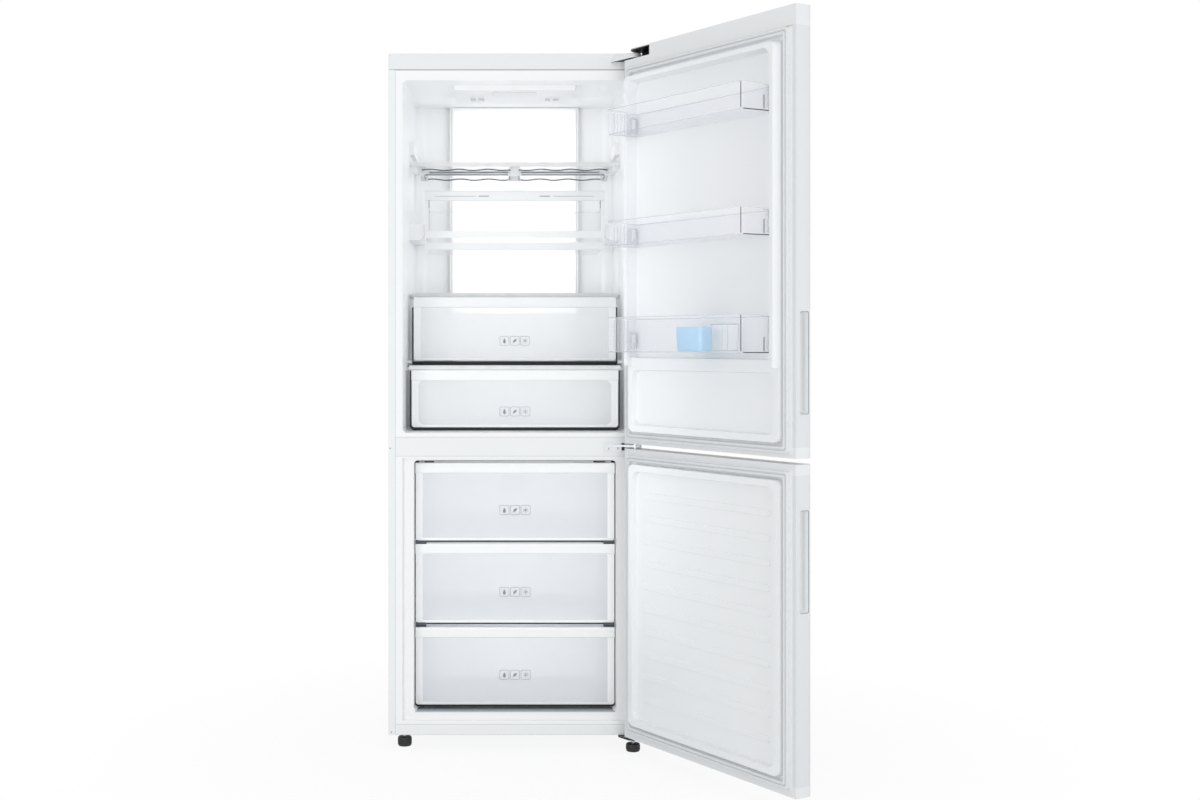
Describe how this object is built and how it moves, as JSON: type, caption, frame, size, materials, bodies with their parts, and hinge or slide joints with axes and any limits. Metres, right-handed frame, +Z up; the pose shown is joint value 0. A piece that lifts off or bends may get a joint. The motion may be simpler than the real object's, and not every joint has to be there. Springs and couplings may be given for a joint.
{
  "type": "bottom freezer refrigerator",
  "caption": "Tall white two-door refrigerator with glass shelves, wire bottle rack and clear drawers over a drawer freezer, doors open.",
  "frame": {"origin": "on the floor at the middle of the floor area taken up with both doors open; the cabinet's front plane is at Y = 0 and its centre line at X = -0.177 m", "axes": "+X to the right as seen from the front, +Y from the front plane into the cabinet, +Z up"},
  "size_m": [1.0434, 1.238, 1.912],
  "materials": {
    "white_painted_steel": "smooth white prepainted steel, semi-gloss",
    "white_liner_plastic": "vacuum-formed white polystyrene, soft gloss",
    "gloss_white_plastic": "high-gloss white moulding",
    "grey_white_plastic": "satin off-white moulding",
    "insulating_foam": "pale yellow polyurethane foam",
    "galvanised_steel": "galvanised sheet",
    "hinge_steel": "zinc-plated steel",
    "toughened_glass": "clear toughened glass, polished",
    "clear_plastic": "clear polystyrene",
    "lamp_lens_plastic": "frosted diffuser",
    "light_blue_plastic": "translucent light blue moulding",
    "chromed_wire": "bright chromed wire",
    "door_seal_vinyl": "soft white vinyl seal",
    "black_rubber": "matt black rubber",
    "black_plastic": "black moulding",
    "dark_grey_plastic": "dark grey moulding",
    "black_enamel": "black enamelled steel shell",
    "coated_tube": "coated steel tube",
    "finned_aluminium": "bare aluminium fins and tube"
  },
  "bodies": {
    "cabinet": {"air_duct_panel": "gloss_white_plastic", "air_duct_vent": "grey_white_plastic", "back_panel": "galvanised_steel", "base_plate": "galvanised_steel", "cabinet_foam": "insulating_foam", "cabinet_screws": "hinge_steel", "compressor": "black_enamel", "compressor_mounts": "black_rubber", "condenser_coil": "coated_tube", "drip_tray": "black_plastic", "evaporator": "finned_aluminium", "evaporator_cover": "white_liner_plastic", "fan_motor": "galvanised_steel", "freezer_liner": "white_liner_plastic", "freezer_shelf_clips": "dark_grey_plastic", "freezer_shelves": "toughened_glass", "fridge_liner": "white_liner_plastic", "front_crossrails": "white_painted_steel", "hinge_cover": "grey_white_plastic", "lamp_housing": "white_liner_plastic", "lamp_lens": "lamp_lens_plastic", "lower_hinge": "hinge_steel", "lower_shelf": "toughened_glass", "machine_cover": "galvanised_steel", "mains_inlet": "black_rubber", "middle_hinge": "hinge_steel", "middle_shelf": "toughened_glass", "outer_shell": "white_painted_steel", "shelf_trims": "grey_white_plastic", "top_cover": "grey_white_plastic", "upper_hinge": "hinge_steel", "upper_shelf": "toughened_glass", "wine_rack": "chromed_wire"},
    "upper_door": {"upper_door_caps": "grey_white_plastic", "upper_door_foam": "insulating_foam", "upper_door_gasket": "door_seal_vinyl", "upper_door_grip": "grey_white_plastic", "upper_door_liner": "white_liner_plastic", "upper_door_skin": "white_painted_steel"},
    "lower_door": {"lower_door_caps": "grey_white_plastic", "lower_door_foam": "insulating_foam", "lower_door_gasket": "door_seal_vinyl", "lower_door_grip": "grey_white_plastic", "lower_door_liner": "white_liner_plastic", "lower_door_skin": "white_painted_steel"},
    "upper_bin": {"upper_bin": "clear_plastic"},
    "middle_bin": {"middle_bin": "clear_plastic"},
    "lower_bin": {"lower_bin": "clear_plastic"},
    "blue_tray": {"blue_tray": "light_blue_plastic"},
    "clear_tray": {"clear_tray": "clear_plastic"},
    "chill_drawer": {"chill_drawer": "clear_plastic"},
    "crisper_drawer": {"crisper_drawer": "clear_plastic"},
    "deli_drawer": {"deli_drawer": "clear_plastic"},
    "top_freezer_drawer": {"top_freezer_drawer": "clear_plastic"},
    "middle_freezer_drawer": {"middle_freezer_drawer": "clear_plastic"},
    "lowest_freezer_drawer": {"lowest_freezer_drawer": "clear_plastic"},
    "evaporator_fan": {"evaporator_fan": "black_plastic"},
    "rear_rollers": {"rear_rollers": "black_plastic"},
    "left_foot": {"left_foot": "black_plastic"},
    "right_foot": {"right_foot": "black_plastic"}
  },
  "joints": [
    {"name": "upper_door_swing", "type": "hinge", "parent": "cabinet", "child": "upper_door", "pos_m": [0.14972, -0.032, 1.376], "axis": [0, 0, 1], "range_deg": [-121, 4]},
    {"name": "lower_door_swing", "type": "hinge", "parent": "cabinet", "child": "lower_door", "pos_m": [0.14972, -0.032, 0.433], "axis": [0, 0, 1], "range_deg": [-121, 4]},
    {"name": "upper_bin_lift", "type": "slide", "parent": "upper_door", "child": "upper_bin", "axis": [0, 0, 1], "range_m": [0, 0.03]},
    {"name": "middle_bin_lift", "type": "slide", "parent": "upper_door", "child": "middle_bin", "axis": [0, 0, 1], "range_m": [0, 0.03]},
    {"name": "lower_bin_lift", "type": "slide", "parent": "upper_door", "child": "lower_bin", "axis": [0, 0, 1], "range_m": [0, 0.03]},
    {"name": "blue_tray_lift", "type": "slide", "parent": "lower_bin", "child": "blue_tray", "axis": [0, 0, 1], "range_m": [0, 0.08]},
    {"name": "clear_tray_lift", "type": "slide", "parent": "lower_bin", "child": "clear_tray", "axis": [0, 0, 1], "range_m": [0, 0.08]},
    {"name": "deli_drawer_slide", "type": "slide", "parent": "cabinet", "child": "deli_drawer", "axis": [0, -1, 0], "range_m": [0, 0.19]},
    {"name": "crisper_drawer_slide", "type": "slide", "parent": "cabinet", "child": "crisper_drawer", "axis": [0, -1, 0], "range_m": [0, 0.25]},
    {"name": "chill_drawer_slide", "type": "slide", "parent": "cabinet", "child": "chill_drawer", "axis": [0, -1, 0], "range_m": [0, 0.27]},
    {"name": "top_freezer_drawer_slide", "type": "slide", "parent": "cabinet", "child": "top_freezer_drawer", "axis": [0, -1, 0], "range_m": [0, 0.3]},
    {"name": "middle_freezer_drawer_slide", "type": "slide", "parent": "cabinet", "child": "middle_freezer_drawer", "axis": [0, -1, 0], "range_m": [0, 0.3]},
    {"name": "lowest_freezer_drawer_slide", "type": "slide", "parent": "cabinet", "child": "lowest_freezer_drawer", "axis": [0, -1, 0], "range_m": [0, 0.24]},
    {"name": "evaporator_fan_spin", "type": "hinge", "parent": "cabinet", "child": "evaporator_fan", "pos_m": [-0.17678, 0.498, 0.705], "axis": [0, 1, 0], "continuous": true},
    {"name": "rear_rollers_spin", "type": "hinge", "parent": "cabinet", "child": "rear_rollers", "pos_m": [-0.17678, 0.56, 0.017], "axis": [1, 0, 0], "continuous": true},
    {"name": "left_foot_turn", "type": "hinge", "parent": "cabinet", "child": "left_foot", "pos_m": [-0.48178, 0.041, 0.013], "axis": [0, 0, 1], "continuous": true},
    {"name": "right_foot_turn", "type": "hinge", "parent": "cabinet", "child": "right_foot", "pos_m": [0.14482, -0.02, 0.011], "axis": [0, 0, 1], "continuous": true}
  ]
}
